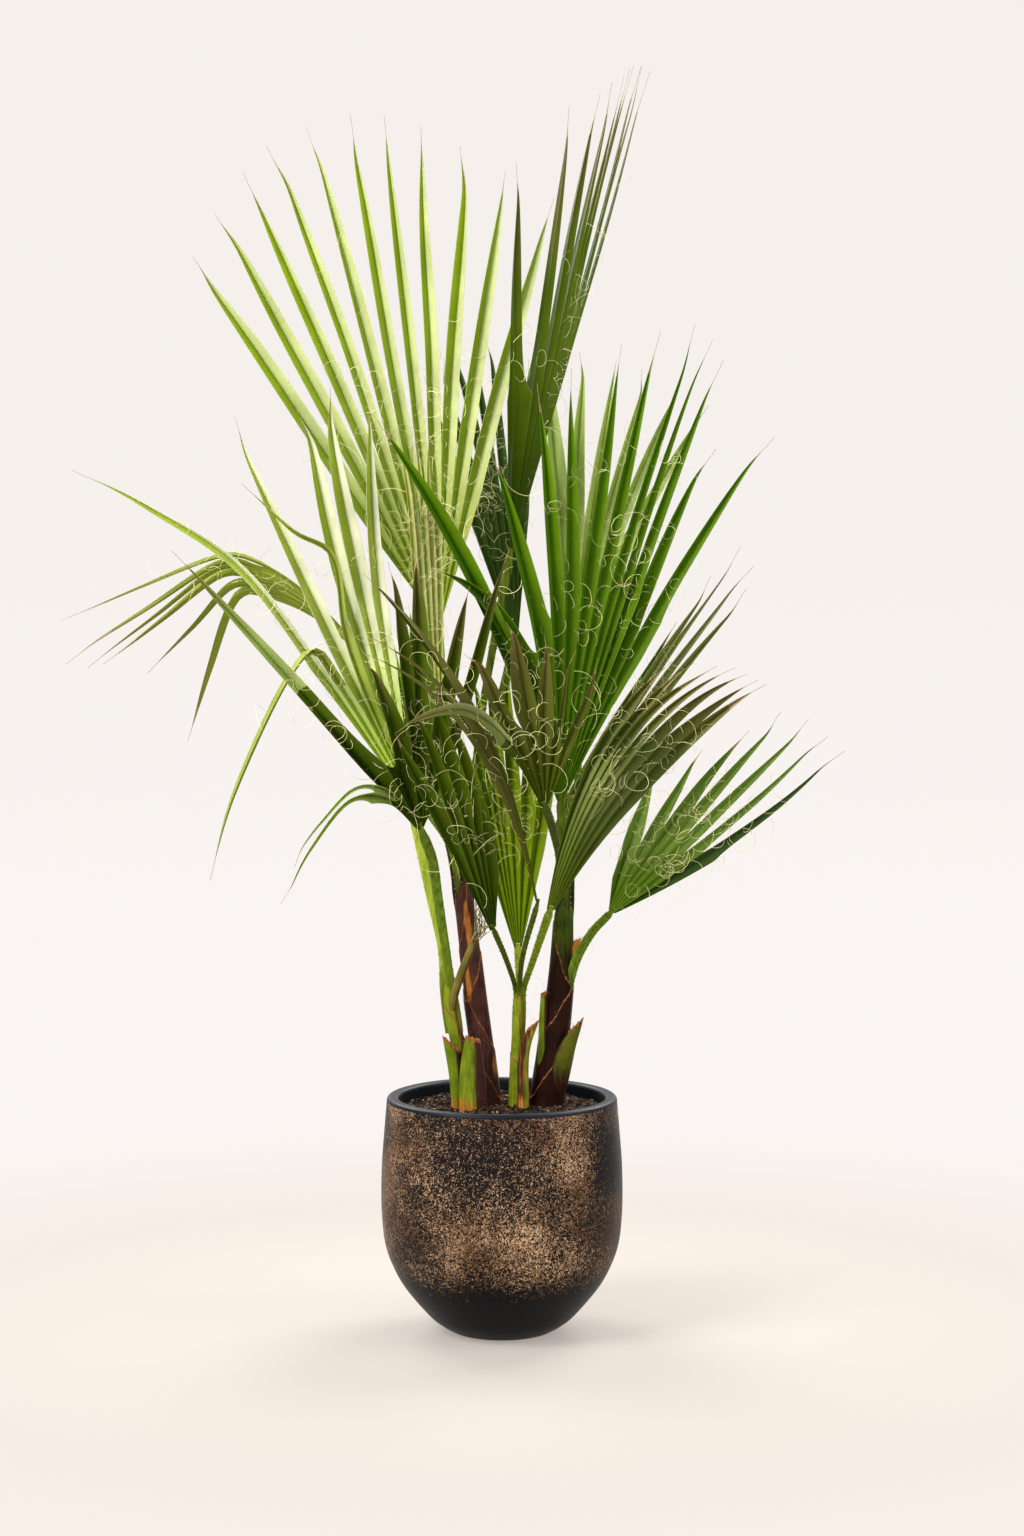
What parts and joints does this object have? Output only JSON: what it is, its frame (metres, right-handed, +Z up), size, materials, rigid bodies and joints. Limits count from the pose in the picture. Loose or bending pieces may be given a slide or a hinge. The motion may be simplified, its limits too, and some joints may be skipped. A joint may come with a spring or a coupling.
{
  "type": "potted fan palm",
  "caption": "Fan palm in a round charcoal ceramic pot: short clumped stems, long petioles and split fan-shaped fronds, standing free on its flat pot foot.",
  "frame": {"origin": "centre of the pot's flat underside", "axes": "+Z up along the pot's axis and the plant's height, +X to the right of the pictured front, +Y away from it"},
  "size_m": [0.9475, 0.7116, 1.5864],
  "materials": {
    "pot": "matt charcoal with a fine tan fleck on the belly, plain satin black rim and foot",
    "soil": "moist dark peat and bark mix, rough",
    "stem": "smooth overlapping leaf bases, purple-brown and green, with brown fibre",
    "leaf_base": "cut and dried old leaf bases, green to brown",
    "petiole": "smooth satin green leaf stalk",
    "leaf": "satin green pleated leaf blade with pale threads"
  },
  "bodies": {
    "root": {"pot": "pot", "soil": "soil", "stem_left": "stem", "stem_back": "stem", "stem_centre": "stem", "stem_right": "stem", "boot_left": "leaf_base", "boot_front": "leaf_base", "boot_centre": "leaf_base", "boot_green": "leaf_base", "boot_stub": "leaf_base", "boot_husk": "leaf_base", "boot_dry": "leaf_base", "petiole_crown_left": "petiole", "frond_crown_left": "leaf", "petiole_crown_tall": "petiole", "frond_crown_tall": "leaf", "petiole_left": "petiole", "frond_left": "leaf", "petiole_back_left": "petiole", "frond_back_left": "leaf", "petiole_spear": "petiole", "frond_spear": "leaf", "petiole_front_left": "petiole", "frond_front_left": "leaf", "petiole_low_left": "petiole", "frond_low_left": "leaf", "petiole_centre": "petiole", "frond_centre": "leaf", "petiole_front_small": "petiole", "frond_front_small": "leaf", "petiole_front_long": "petiole", "frond_front_long": "leaf", "petiole_right_front": "petiole", "frond_right_front": "leaf", "petiole_right_low": "petiole", "frond_right_low": "leaf", "petiole_right_mid": "petiole", "frond_right_mid": "leaf", "petiole_crown_right": "petiole", "frond_crown_right": "leaf", "petiole_back_right": "petiole", "frond_back_right": "leaf", "petiole_back_centre": "petiole", "frond_back_centre": "leaf", "petiole_rear_left": "petiole", "frond_rear_left": "leaf", "petiole_rear_right": "petiole", "frond_rear_right": "leaf"}
  },
  "joints": []
}
